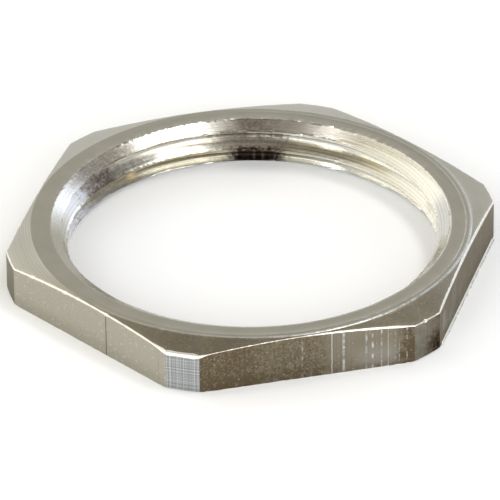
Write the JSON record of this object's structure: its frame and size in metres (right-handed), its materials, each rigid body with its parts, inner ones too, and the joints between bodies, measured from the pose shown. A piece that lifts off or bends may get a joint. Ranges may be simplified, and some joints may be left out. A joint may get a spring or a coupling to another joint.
{
  "type": "cable gland locknut",
  "caption": "Thin hexagonal locknut with a wide, finely threaded hole, a flat upper ring and coned, turned corners, for clamping a cable gland to a panel.",
  "frame": {"origin": "centre of the lower face, on the thread's axis", "axes": "+Z along the thread's axis, from the flat lower face up to the ring and cone; +X through one corner of the hexagon"},
  "size_m": [0.0356, 0.032, 0.0035],
  "materials": {
    "nickel_plate": "nickel plated, satin turned upper side, drawn flats"
  },
  "bodies": {
    "root": {"locknut": "nickel_plate"}
  },
  "joints": []
}
